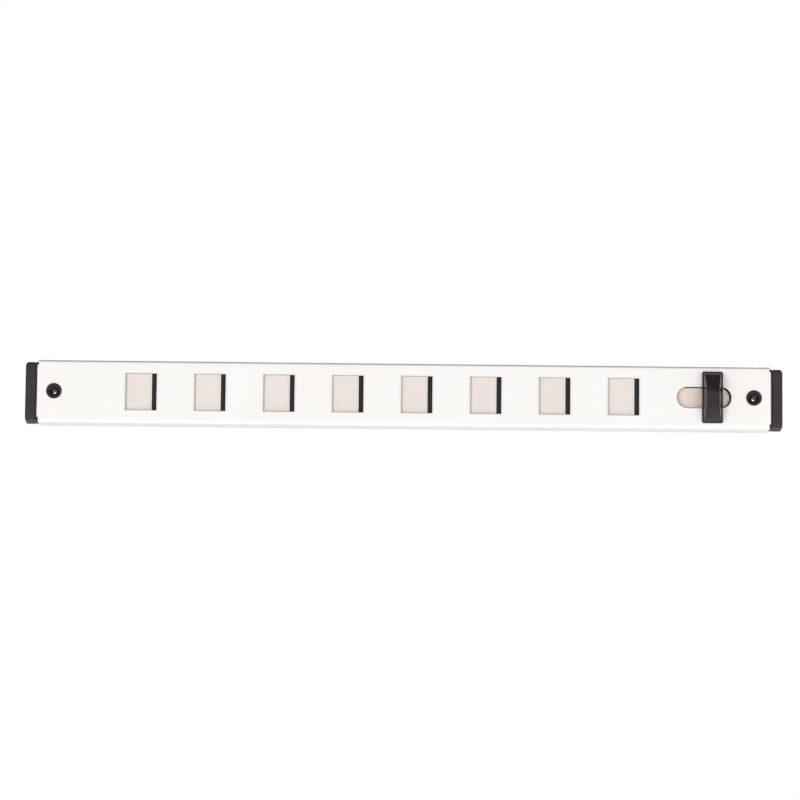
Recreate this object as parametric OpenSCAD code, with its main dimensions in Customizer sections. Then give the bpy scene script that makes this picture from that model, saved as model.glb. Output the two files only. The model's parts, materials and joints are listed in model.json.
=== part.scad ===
// Switchable magnetic knife rack: a folded steel casing with a row of windows,
// and a sliding bar of magnets behind it that a thumb knob moves.
// The origin is the middle of the wall face, between the two wall screw holes.
// +X runs along the rack, +Z is up, and the front face looks along -Y.
// The slide is drawn where it rests, a little short of fully off.

/* [Casing] */
// Length over both end caps
rack_l = 500; // [490:1:560]
// Height of the casing
casing_h = 41.5; // [41.5:0.5:46]
// Depth from the wall to the front face
casing_d = 18; // [17.5:0.5:24]
// Thickness of the folded sheet
sheet_t = 1.2; // [1:0.1:1.3]
// Outer radius of the four folds
fold_r = 1.8; // [1.6:0.1:2.4]
// Height of the lips folded in at the back
lip_h = 5.2; // [4:0.1:5.2]
// How far the folds stop short of the ends of the front
fold_relief = 0.9; // [0.8:0.1:1.5]

/* [Windows] */
// Width of a window
window_w = 20.4; // [18:0.1:21]
// Height of a window
window_h = 24.5; // [20:0.1:26]
// Distance from one window to the next
window_pitch = 45.5; // [45:0.1:46]
// Distance from the left end of the rack to the middle of the first window
first_window = 76.5; // [75:0.1:78]

/* [Slot and knob] */
// Distance from the right end of the rack to the middle of the slot
slot_from_end = 51.9; // [51:0.1:53]
// Length of the slot over its round ends
slot_l = 36; // [35.6:0.1:36.4]
// Height of the slot
slot_h = 14; // [13.6:0.1:15]
// Travel from rest to fully on, towards the left
travel_on = 17; // [16.5:0.1:17.1]
// Travel from rest to fully off, towards the right
travel_off = 6; // [5.5:0.1:6.1]
// Width of the knob at its base
knob_w = 13.8; // [13.5:0.1:15]
// Length of the knob, up and down
knob_l = 34.5; // [28:0.5:36]
// Height of the knob's crown over its base
knob_d = 8.5; // [7:0.1:10]
// Width of the knob's crown
knob_top_w = 8.2; // [6:0.1:9]
// Height of the knob at the foot of its end bevels
knob_end_d = 4.9; // [4:0.1:6]
// Length of each end bevel
knob_bevel = 3; // [2:0.1:4]

/* [Magnets] */
// Width of a magnet
magnet_w = 19.9; // [16:0.1:20]
// Height of a magnet
magnet_h = 27; // [25:0.5:28]
// Thickness of a magnet
magnet_t = 6; // [5:0.1:6]
// Thickness of the steel pole plates beside each magnet
pole_t = 0.8; // [0.5:0.1:0.8]
// Thickness of the steel yoke behind the magnets
yoke_t = 2; // [1.5:0.1:2]

/* [Wall fixing] */
// Distance from each end of the rack to its wall screw
screw_from_end = 19; // [18.6:0.1:19.4]
// Bore for the wall screw
screw_bore = 3.7; // [3.6:0.1:4.6]
// Diameter of the bush's head
bush_head = 10.4; // [9.4:0.1:11]

/* [End caps] */
// Length of an end cap outside the casing
cap_l = 7.8; // [7:0.1:9]
// How far the cap stands in from the faces of the casing
cap_inset = 1.3; // [0.8:0.1:1.6]
// Radius of the cap's front outer edge
cap_r = 1.8; // [1:0.1:3]
// Height cut off each front outer corner of the cap
cap_corner = 2.4; // [1:0.1:4]

/* [Hidden] */
$fn = 64;

window_count = 8;
run_gap = 0.3;    // between the slide and what it runs past
fit_gap = 0.05;   // between pieces that are fixed together
through = 1;      // how far a cutter runs past the face it cuts

// Along the rack
casing_x = rack_l / 2 - cap_l;
screw_x = rack_l / 2 - screw_from_end;
slot_x = rack_l / 2 - slot_from_end;
knob_x = slot_x + (travel_on - travel_off) / 2;
window_x = [for (i = [0 : window_count - 1]) -rack_l / 2 + first_window + window_pitch * i];
magnet_x = [for (x = window_x) x + travel_on];
magnet_set_w = magnet_w + 2 * pole_t;
carrier_x0 = window_x[0] - window_w / 2 - travel_off - 3;
carrier_x1 = slot_x - slot_l / 2 - 1.5;
carrier_screw_x = [for (i = [0 : 2 : window_count - 2]) magnet_x[i] + window_pitch / 2];
rail_x = casing_x - 20.5;
rail_screw_x = [for (i = [-2 : 2]) i * 90];
spring_x = [for (i = [1, 5]) magnet_x[i] + window_pitch / 2];

// From front to back
front_y = -casing_d;
skin_y = front_y + sheet_t;
web_y = skin_y + run_gap;
web_t = 1;
arm_y = web_y + web_t;
arm_t = 1.5;
magnet_y = web_y + 0.2;
yoke_y = magnet_y + magnet_t;
flange_y = yoke_y + yoke_t + 0.8;
plate_y = -2 * sheet_t;
rail_block_y = flange_y + run_gap;
knob_y = front_y - run_gap;

// Up and down
inner_h = casing_h - 2 * sheet_t;
carrier_h = inner_h - 6.6;
window_wall = 1;
yoke_h = carrier_h - 2 * window_wall - 0.4;
rail_foot_z = 10;
rail_screw_z = 12.6;
arm_h = slot_h - 0.6;

// Small fixings: shank and head radii, and head height
screw_r = 0.9;
head_r = 2.1;
head_h = 1.1;
rivet_r = 1.2;

// A flat outline drawn in Y and Z, carried along X from x0 to x1
module along_x(x0, x1) translate([x0, 0, 0]) rotate([90, 0, 90]) linear_extrude(x1 - x0) children();

// A flat outline drawn in X and Z, carried along Y from y0 to y1
module along_y(y0, y1) translate([0, y1, 0]) rotate([90, 0, 0]) linear_extrude(y1 - y0) children();

// A flat outline drawn in X and Y, carried up from z0 to z1
module along_z(z0, z1) translate([0, 0, z0]) linear_extrude(z1 - z0) children();

// A round bar of radius r along Y from y0 to y1, at x and z
module bar_y(x, z, r, y0, y1) translate([x, y1, z]) rotate([90, 0, 0]) cylinder(h = y1 - y0, r = r);

// A rectangle from corner a to corner b with rounded corners
module round_rect(a, b, r) {
    translate([a[0] + r, a[1]]) square([b[0] - a[0] - 2 * r, b[1] - a[1]]);
    translate([a[0], a[1] + r]) square([b[0] - a[0], b[1] - a[1] - 2 * r]);
    for (x = [a[0] + r, b[0] - r], z = [a[1] + r, b[1] - r]) translate([x, z]) circle(r);
}

// A level slot outline with round ends, centred on x
module obround(x, l, h) {
    translate([x - (l - h) / 2, -h / 2]) square([l - h, h]);
    for (s = [-1, 1]) translate([x + s * (l - h) / 2, 0]) circle(h / 2);
}

// The inside of the casing, drawn in by gap on every side
module inner_outline(gap) {
    round_rect([skin_y + gap, -inner_h / 2 + gap], [-sheet_t - gap, inner_h / 2 - gap], fold_r - sheet_t);
}

// Screw with a pan head at y and its shank running forward by l, slotted across the head
module pan_screw(x, z, y, l) {
    bar_y(x, z, screw_r, y - l, y);
    difference() {
        bar_y(x, z, head_r, y, y + head_h);
        translate([x - 0.25, y + head_h - 0.5, z - head_r - through])
            cube([0.5, 1, 2 * (head_r + through)]);
    }
}

// Folded sheet: front, top and bottom, and two lips at the back
module front_casing() color([0.96, 0.95, 0.94]) difference() {
    along_x(-casing_x, casing_x) difference() {
        round_rect([front_y, -casing_h / 2], [0, casing_h / 2], fold_r);
        inner_outline(0);
        translate([-sheet_t - through, -casing_h / 2 + lip_h])
            square([sheet_t + 2 * through, casing_h - 2 * lip_h]);
    }
    along_y(front_y - through, skin_y + through) {
        for (x = window_x) translate([x - window_w / 2, -window_h / 2]) square([window_w, window_h]);
        obround(slot_x, slot_l, slot_h);
        for (x = [-screw_x, screw_x]) translate([x, 0]) circle(d = bush_tube + 2 * fit_gap);
    }
    along_y(front_y - through, through)
        for (x = [-casing_x, casing_x], z = [-casing_h / 2, casing_h / 2])
            translate([x - fold_relief, z - relief_h]) square(2 * [fold_relief, relief_h]);
}
relief_h = fold_r + 1.5;

// Galvanised plate behind the slide, held in by the casing's lips and by the wall screws
module back_plate() color([0.72, 0.74, 0.76]) difference() {
    along_y(plate_y, -sheet_t)
        translate([-plate_x, -plate_h / 2]) square([2 * plate_x, plate_h]);
    along_y(plate_y - through, through) {
        for (x = [-screw_x, screw_x]) translate([x, 0]) circle(d = bush_spigot + 2 * fit_gap);
        for (x = rail_screw_x, z = [-rail_screw_z, rail_screw_z]) translate([x, z]) circle(screw_r + 0.3);
        for (x = spring_x) translate([x - spring_tab_x, 0]) circle(rivet_r + fit_gap);
    }
}
plug_l = 5.8;
plate_x = casing_x - plug_l - 0.5;
plate_h = inner_h - 2 * (fold_r - sheet_t) - 2 * fit_gap;

// Moulded cap: hollow plug, shoulder with tabs that fill the casing's reliefs, groove and rounded end
module end_cap() color([0.1, 0.1, 0.11]) difference() {
    union() {
        along_x(casing_x - plug_l, casing_x) inner_outline(0.1);
        along_x(casing_x - fold_relief + run_gap, casing_x) difference() {
            cap_outline(cap_inset);
            square([4 * casing_d, casing_h - 2 * (relief_h - run_gap)], center = true);
        }
        along_x(casing_x, casing_x + cap_shoulder) cap_outline(cap_inset);
        along_x(casing_x + cap_shoulder, casing_x + cap_shoulder + cap_groove) cap_outline(cap_inset + 0.4);
        intersection() {
            along_x(casing_x + cap_shoulder + cap_groove, rack_l / 2) cap_outline(cap_inset);
            along_z(-casing_h, casing_h) round_rect([casing_x, front_y], [rack_l / 2, casing_d], cap_r);
        }
    }
    along_x(casing_x - plug_l - through, rack_l / 2 - 2.2) inner_outline(1.9);
    for (s = [0, 1]) mirror([0, 0, s])
        translate([rack_l / 2, front_y, casing_h / 2 - cap_inset - cap_corner]) rotate([0, -30, -20])
            translate([0, -casing_d, -casing_d]) cube(2 * casing_d);
}
cap_shoulder = 0.9;
cap_groove = 0.5;

// The casing's outline drawn in by inset above and below, and by less in front; square at the wall
module cap_outline(inset) {
    top = casing_h / 2 - inset;
    round_rect([front_y + inset * 0.4, -top], [-fit_gap, top], fold_r);
    translate([-2 * fold_r, -top]) square([2 * fold_r - fit_gap, 2 * top]);
}

module right_end_cap() end_cap();
module left_end_cap() mirror([1, 0, 0]) end_cap();

// Spacer bush: countersunk head on the front, tube through the casing, spigot through to the wall
module wall_bush(x) color([0.1, 0.1, 0.11]) difference() {
    union() {
        bar_y(x, 0, bush_head / 2, front_y - bush_proud, front_y);
        bar_y(x, 0, bush_tube / 2, front_y, plate_y);
        bar_y(x, 0, bush_spigot / 2, plate_y, 0);
    }
    bar_y(x, 0, screw_bore / 2, front_y - through, through);
    translate([x, front_y - bush_proud + sink_d, 0]) rotate([90, 0, 0])
        cylinder(h = sink_d, r1 = screw_bore / 2, r2 = screw_bore / 2 + sink_d);
}
bush_proud = 0.5;
bush_tube = 8;
bush_spigot = 6;
sink_d = 1.9;

module left_wall_bush() wall_bush(-screw_x);
module right_wall_bush() wall_bush(screw_x);

// Rail that the slide's flange runs in, with a foot along the back plate
module guide_rail() color([0.88, 0.87, 0.82]) difference() {
    along_x(-rail_x, rail_x) {
        round_rect([skin_y + 0.2, carrier_h / 2 + run_gap], [plate_y, inner_h / 2], fold_r - sheet_t);
        translate([rail_block_y, rail_foot_z])
            square([plate_y - rail_block_y, inner_h / 2 - rail_foot_z - 1]);
    }
    for (x = rail_screw_x) bar_y(x, rail_screw_z, screw_r + fit_gap, plate_y - 4, plate_y + through);
}
module upper_guide_rail() guide_rail();
module lower_guide_rail() mirror([0, 0, 1]) guide_rail();

module rail_screws() color([0.7, 0.71, 0.73])
    for (x = rail_screw_x, z = [-rail_screw_z, rail_screw_z]) pan_screw(x, z, -sheet_t, 4.5);

// Bowed leaf with a flat tab, riveted to the back plate, that rubs on the yoke
module drag_spring(x) color([0.62, 0.6, 0.55]) translate([x, 0, 0]) {
    along_z(-spring_h / 2, spring_h / 2) intersection() {
        difference() {
            translate([0, spring_crest_y + spring_bow_r]) circle(spring_bow_r, $fn = 180);
            translate([0, spring_crest_y + spring_bow_r]) circle(spring_bow_r - spring_t, $fn = 180);
        }
        translate([-spring_half, spring_crest_y - 1])
            square([2 * spring_half, plate_y - fit_gap - spring_crest_y + 1]);
    }
    difference() {
        translate([-spring_tab_x - 5, plate_y - spring_t, -spring_h / 2])
            cube([spring_tab_x + 5 - spring_half + 1.5, spring_t, spring_h]);
        bar_y(-spring_tab_x, 0, rivet_r + fit_gap, plate_y - 2, plate_y + through);
    }
}
spring_t = 0.4;
spring_h = 10;
spring_half = 26;
spring_tab_x = spring_half + 4;
spring_crest_y = yoke_y + yoke_t + run_gap;
spring_rise = plate_y - spring_crest_y;
spring_bow_r = (spring_half * spring_half + spring_rise * spring_rise) / (2 * spring_rise);

module left_drag_spring() drag_spring(spring_x[0]);
module right_drag_spring() drag_spring(spring_x[1]);

module spring_rivets() color([0.7, 0.71, 0.73])
    for (x = spring_x) {
        bar_y(x - spring_tab_x, 0, rivet_r, plate_y - spring_t, -sheet_t);
        bar_y(x - spring_tab_x, 0, head_r, plate_y - spring_t - head_h, plate_y - spring_t);
    }

// Pale moulded strip that shows in the windows, pocketed for the magnets
module carrier_strip() color([0.9, 0.87, 0.85]) difference() {
    union() {
        along_x(carrier_x0, carrier_x1) {
            translate([web_y, -carrier_h / 2]) square([web_t, carrier_h]);
            for (z = [-carrier_h / 2, carrier_h / 2 - window_wall])
                translate([web_y, z]) square([flange_y - web_y, window_wall]);
        }
        for (x = carrier_screw_x) bar_y(x, 0, 2.7, arm_y - 0.2, yoke_y);
    }
    along_y(web_y - through, arm_y + through)
        for (x = magnet_x) translate([x - magnet_set_w / 2 - 0.1, -magnet_h / 2 - 0.1])
            square([magnet_set_w + 0.2, magnet_h + 0.2]);
    for (x = carrier_screw_x) bar_y(x, 0, screw_r + fit_gap, arm_y + 0.2, yoke_y + through);
    for (z = arm_rivet_z) bar_y(arm_rivet_x, z, rivet_r + fit_gap, web_y - through, arm_y + through);
}

module magnet(i) color([0.16, 0.15, 0.15]) along_y(magnet_y, yoke_y)
    translate([magnet_x[i] - magnet_w / 2, -magnet_h / 2]) square([magnet_w, magnet_h]);

module pole_plates() color([0.82, 0.83, 0.85]) along_y(magnet_y, yoke_y)
    for (x = magnet_x, s = [-1, 1])
        translate([x + s * (magnet_w + pole_t) / 2 - pole_t / 2, -magnet_h / 2]) square([pole_t, magnet_h]);

module magnet_yoke() color([0.55, 0.57, 0.6]) along_y(yoke_y, yoke_y + yoke_t) difference() {
    translate([magnet_x[0] - yoke_end, -yoke_h / 2])
        square([magnet_x[window_count - 1] - magnet_x[0] + 2 * yoke_end, yoke_h]);
    for (x = carrier_screw_x) translate([x, 0]) circle(screw_r + 0.3);
}
yoke_end = magnet_set_w / 2 + 2;

module yoke_screws() color([0.7, 0.71, 0.73])
    for (x = carrier_screw_x) pan_screw(x, 0, yoke_y + yoke_t, 5.6);

// Round-ended steel arm between the carrier and the knob
module knob_arm() color([0.84, 0.81, 0.78]) along_y(arm_y, arm_y + arm_t) difference() {
    union() {
        translate([arm_x0, -arm_h / 2]) square([arm_x1 - arm_h / 2 - arm_x0, arm_h]);
        translate([arm_x1 - arm_h / 2, 0]) circle(arm_h / 2);
    }
    for (z = knob_screw_z) translate([knob_x, z]) circle(screw_r + 0.2);
    for (z = arm_rivet_z) translate([arm_rivet_x, z]) circle(rivet_r + fit_gap);
}
arm_x0 = magnet_x[window_count - 1] + magnet_set_w / 2 + 0.8;
arm_x1 = slot_x + slot_l / 2 - 1;
arm_rivet_x = (arm_x0 + carrier_x1) / 2;
arm_rivet_z = [-4, 4];

module arm_rivets() color([0.7, 0.71, 0.73])
    for (z = arm_rivet_z) {
        bar_y(arm_rivet_x, z, rivet_r, web_y, arm_y + arm_t);
        bar_y(arm_rivet_x, z, head_r - 0.3, arm_y + arm_t, arm_y + arm_t + 0.8);
    }

// Crowned thumb bar with drafted sides and bevelled ends, and a round neck that runs in the slot
module slider_knob() color([0.12, 0.12, 0.13]) difference() {
    union() {
        intersection() {
            translate([knob_x, 0, 0]) along_z(-knob_l, knob_l) polygon([
                [-knob_w / 2, knob_y], [knob_w / 2, knob_y],
                [knob_top_w / 2, knob_y - knob_d], [-knob_top_w / 2, knob_y - knob_d]]);
            along_x(knob_x - knob_w, knob_x + knob_w) intersection() {
                polygon([
                    [knob_y, -knob_l / 2], [knob_y, knob_l / 2],
                    [knob_y - knob_end_d, knob_crown_z], [knob_y - 2 * knob_d, knob_crown_z],
                    [knob_y - 2 * knob_d, -knob_crown_z], [knob_y - knob_end_d, -knob_crown_z]]);
                translate([knob_y - knob_d + knob_crown_r, 0]) circle(knob_crown_r, $fn = 180);
            }
        }
        bar_y(knob_x, 0, neck_r, knob_y - 0.2, arm_y - fit_gap);
    }
    for (z = knob_screw_z) bar_y(knob_x, z, screw_r + fit_gap, knob_y - 2.4, arm_y);
}
neck_r = (slot_l - travel_on - travel_off) / 2 - run_gap;
knob_crown_z = knob_l / 2 - knob_bevel;
knob_rise = knob_d - knob_end_d;
knob_crown_r = (knob_crown_z * knob_crown_z + knob_rise * knob_rise) / (2 * knob_rise);
knob_screw_z = [-2.8, 2.8];

module knob_screws() color([0.7, 0.71, 0.73])
    for (z = knob_screw_z) pan_screw(knob_x, z, arm_y + arm_t, 6);

front_casing();
back_plate();
left_end_cap();
right_end_cap();
left_wall_bush();
right_wall_bush();
upper_guide_rail();
lower_guide_rail();
rail_screws();
left_drag_spring();
right_drag_spring();
spring_rivets();
carrier_strip();
magnet(0);  // magnet_1
magnet(1);  // magnet_2
magnet(2);  // magnet_3
magnet(3);  // magnet_4
magnet(4);  // magnet_5
magnet(5);  // magnet_6
magnet(6);  // magnet_7
magnet(7);  // magnet_8
pole_plates();
magnet_yoke();
yoke_screws();
knob_arm();
arm_rivets();
slider_knob();
knob_screws();
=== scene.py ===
import json
import math

import bmesh
import bpy
import numpy as np
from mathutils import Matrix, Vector


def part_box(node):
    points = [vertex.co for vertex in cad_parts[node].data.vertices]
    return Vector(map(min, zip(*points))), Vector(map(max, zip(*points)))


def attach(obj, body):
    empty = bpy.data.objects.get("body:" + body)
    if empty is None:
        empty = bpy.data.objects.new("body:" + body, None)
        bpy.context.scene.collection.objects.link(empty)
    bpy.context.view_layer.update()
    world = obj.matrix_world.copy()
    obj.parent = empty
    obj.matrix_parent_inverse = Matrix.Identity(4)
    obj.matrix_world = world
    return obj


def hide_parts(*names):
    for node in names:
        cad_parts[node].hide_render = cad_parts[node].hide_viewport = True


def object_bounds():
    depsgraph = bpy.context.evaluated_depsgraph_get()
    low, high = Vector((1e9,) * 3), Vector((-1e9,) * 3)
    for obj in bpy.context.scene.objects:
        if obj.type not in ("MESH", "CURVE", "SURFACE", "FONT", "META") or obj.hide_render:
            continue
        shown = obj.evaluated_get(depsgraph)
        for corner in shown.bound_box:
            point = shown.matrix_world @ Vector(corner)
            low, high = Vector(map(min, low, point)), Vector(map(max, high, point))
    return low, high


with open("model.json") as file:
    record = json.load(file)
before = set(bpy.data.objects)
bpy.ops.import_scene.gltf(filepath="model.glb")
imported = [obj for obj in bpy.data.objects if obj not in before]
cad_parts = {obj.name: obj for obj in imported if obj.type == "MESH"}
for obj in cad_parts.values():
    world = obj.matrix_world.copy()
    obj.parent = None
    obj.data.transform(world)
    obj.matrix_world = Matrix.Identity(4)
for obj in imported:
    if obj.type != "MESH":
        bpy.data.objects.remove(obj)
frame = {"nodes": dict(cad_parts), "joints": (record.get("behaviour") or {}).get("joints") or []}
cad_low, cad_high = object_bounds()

MM = 0.001


# ---------------------------------------------------------------- mesh helpers

def span(node, axis):
    """Lowest, middle and highest value of a CAD node along one axis."""
    low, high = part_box(node)
    return low[axis], (low[axis] + high[axis]) / 2, high[axis]


def finish_mesh(name, points, faces, smooth_angle=40):
    """A mesh object from an (n, 3) array and a list of (m, 4) index arrays. Doubled points are
    merged, squashed faces dropped, and a closed surface turned so that its volume is positive."""
    mesh = bpy.data.meshes.new(name)
    mesh.from_pydata(points.tolist(), [], np.concatenate(faces).tolist())
    bm = bmesh.new()
    bm.from_mesh(mesh)
    bmesh.ops.remove_doubles(bm, verts=bm.verts, dist=2e-6)
    bmesh.ops.dissolve_degenerate(bm, edges=bm.edges, dist=1e-7)
    if all(e.is_manifold for e in bm.edges) and bm.calc_volume(signed=True) < 0:
        bmesh.ops.reverse_faces(bm, faces=bm.faces)
    bm.to_mesh(mesh)
    bm.free()
    mesh.shade_smooth()
    mesh.set_sharp_from_angle(angle=math.radians(smooth_angle))
    made = bpy.data.objects.new(name, mesh)
    bpy.context.scene.collection.objects.link(made)
    return made


def ring_faces(m, n, closed=False):
    """Quads between neighbours of m rings of n points, wrapping round each ring."""
    i = np.arange(m if closed else m - 1)[:, None]
    j = np.arange(n)[None, :]
    a, b = i * n + j, i * n + (j + 1) % n
    c, d = (i + 1) % m * n + (j + 1) % n, (i + 1) % m * n + j
    return np.stack([a, b, c, d], -1).reshape(-1, 4)


def loft(name, rings, closed=False, smooth_angle=40):
    """A closed surface over rings[..., m, n, 3], one body for each leading index: quads join each
    ring to the next. A first or last ring that has shrunk to a point or a line is merged shut;
    closed=True joins the last ring to the first instead."""
    m, n = rings.shape[-3:-1]
    bodies = rings.reshape(-1, m * n, 3)
    quads = [ring_faces(m, n, closed) + k * m * n for k in range(len(bodies))]
    return finish_mesh(name, bodies.reshape(-1, 3), quads, smooth_angle)


def join(piece, other):
    """Adds the other piece's mesh to this one."""
    bm = bmesh.new()
    bm.from_mesh(piece.data)
    bm.from_mesh(other.data)
    bm.to_mesh(piece.data)
    bm.free()
    bpy.data.objects.remove(other)


def put_attribute(piece, name, values_at):
    """Stores values_at(points) on the piece's vertices, where points is the (n, 3) array."""
    mesh = piece.data
    points = np.empty(len(mesh.vertices) * 3)
    mesh.vertices.foreach_get("co", points)
    layer = mesh.attributes.new(name, "FLOAT", "POINT")
    layer.data.foreach_set("value", values_at(points.reshape(-1, 3)).astype(np.float32))


def fillet(corners, radii, steps=6, closed=True):
    """A polyline whose corners are rounded: each is cut back by r tan(turn / 2) along both sides,
    and an arc of radius r and that turn joins the cuts. The ends of an open line stay sharp."""
    corners = np.asarray(corners, float)
    out = []
    for k, (p, r) in enumerate(zip(corners, np.broadcast_to(radii, len(corners)))):
        if r == 0 or (not closed and k in (0, len(corners) - 1)):
            out.append(p[None])
            continue
        u = p - corners[k - 1]
        v = corners[(k + 1) % len(corners)] - p
        u, v = u / np.linalg.norm(u), v / np.linalg.norm(v)
        side = np.sign(u[0] * v[1] - u[1] * v[0])
        turn = math.acos(np.clip(u @ v, -1, 1))
        inward = side * np.array([-u[1], u[0]])
        centre = p - u * r * math.tan(turn / 2) + inward * r
        a = np.linspace(0, turn, steps + 1)[:, None]
        out.append(centre + r * (u * np.sin(a) - inward * np.cos(a)))
    return np.concatenate(out)


def refine(line, step):
    """The same polyline with every stretch longer than step cut into equal parts."""
    parts = []
    for a, b in zip(line[:-1], line[1:]):
        count = max(1, math.ceil(np.linalg.norm(b - a) / step))
        parts.append(a + (b - a) * (np.arange(count) / count)[:, None])
    return np.concatenate(parts + [line[-1:]])


def outlines(half_w, half_l, radius, arc=6, short=6, long=12):
    """Rounded rectangles, one per entry of the half sizes: four quarter arcs about the corners
    drawn in by radius, joined by straight sides cut into equal steps. radius has one row per
    outline and one column per corner, in the order (+,+), (-,+), (-,-), (+,-)."""
    half_w, half_l, radius = np.broadcast_arrays(
        np.reshape(half_w, (-1, 1)), np.reshape(half_l, (-1, 1)), radius + np.zeros((1, 4)))
    radius = np.minimum(radius, np.minimum(half_w, half_l))
    q = np.linspace(0, math.pi / 2, arc + 1)
    arcs = []
    for k, (sx, sz) in enumerate([(1, 1), (-1, 1), (-1, -1), (1, -1)]):
        w, l, r, a = half_w[:, k:k + 1], half_l[:, k:k + 1], radius[:, k:k + 1], q + k * math.pi / 2
        arcs.append(np.stack([sx * (w - r) + r * np.cos(a), sz * (l - r) + r * np.sin(a)], -1))
    whole = []
    for k, count in enumerate([short, long, short, long]):
        t = (np.arange(1, count + 1) / (count + 1))[None, :, None]
        whole += [arcs[k], arcs[k][:, -1:] * (1 - t) + arcs[(k + 1) % 4][:, :1] * t]
    return np.concatenate(whole, 1)


def quarter(r, steps=5):
    """A quarter-round edge of radius r: inset from the side r(1 - sin a) and depth behind the
    face r(1 - cos a), for a from 0 at the face to a right angle at the side."""
    a = np.linspace(0, math.pi / 2, steps + 1)
    return r * (1 - np.sin(a)), r * (1 - np.cos(a))


def lathe(name, profile, x, around=72):
    """A closed outline of radius and Y, turned about the line along Y through x."""
    a = np.linspace(0, 2 * math.pi, around, endpoint=False)[None, :]
    r, y = profile[:, :1], profile[:, 1:]
    return loft(name, np.stack([x + r * np.cos(a), y + 0 * a, r * np.sin(a)], -1), True, 30)


def slab_rings(half_w, half_l, radius, y0, y1, centre, edge, chips=0):
    """Rings of a flat block from y0 to y1, whose outline in X and Z is a rounded rectangle about
    centre. Front and back edges are quarter rounds, and both faces close to a line. chips is one
    extra inset per outline point, and wears the front edge."""
    inset, depth = quarter(edge, 4)
    flat = np.linspace(min(half_w, half_l), 1.8 * edge, 4)
    insets = np.concatenate([flat, inset, inset[::-1], flat[::-1]])
    ys = np.concatenate([np.full(4, y0), y0 + depth, y1 - depth[::-1], np.full(4, y1)])
    corner = np.maximum(np.asarray(radius) - insets[:, None], 1e-7)
    flat_xz = outlines(half_w - insets, half_l - insets, corner)
    worn = np.zeros(len(ys))
    worn[4:9] = np.linspace(1, 0.1, 5)
    shrink = 1 - worn[:, None, None] * (np.asarray(chips) / min(half_w, half_l))[..., None]
    flat_xz = flat_xz * shrink
    y = np.repeat(ys[:, None], flat_xz.shape[1], 1)
    return np.stack([centre[0] + flat_xz[..., 0], y, centre[1] + flat_xz[..., 1]], -1)


# ---------------------------------------------------------------- folded sheet with holes

def grid_lines(lines, step):
    """The given places in order, with more put in wherever two are further apart than step."""
    lines = np.unique(np.round(lines, 7))
    return np.unique(np.round(refine(lines[:, None], step).ravel(), 7))


def folded_section(corners, radius, front_lines, step):
    """A folded outline in Y and Z. Its stretch at the lowest Y is the front, which takes
    front_lines as its heights. Returns the outline and the front's first and last row."""
    line = fillet(corners, radius, steps=8, closed=False)
    at_front = np.nonzero(np.isclose(line[:, 0], line[:, 0].min()))[0]
    first, last = at_front[0], at_front[-1]
    zs = front_lines[(front_lines > line[first, 1] + 1e-5) & (front_lines < line[last, 1] - 1e-5)]
    before, after = refine(line[:first + 1], step), refine(line[last:], step)
    section = np.concatenate([before, np.stack([np.full(len(zs), line[first, 0]), zs], 1), after])
    return section, len(before) - 1, len(before) + len(zs)


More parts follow.
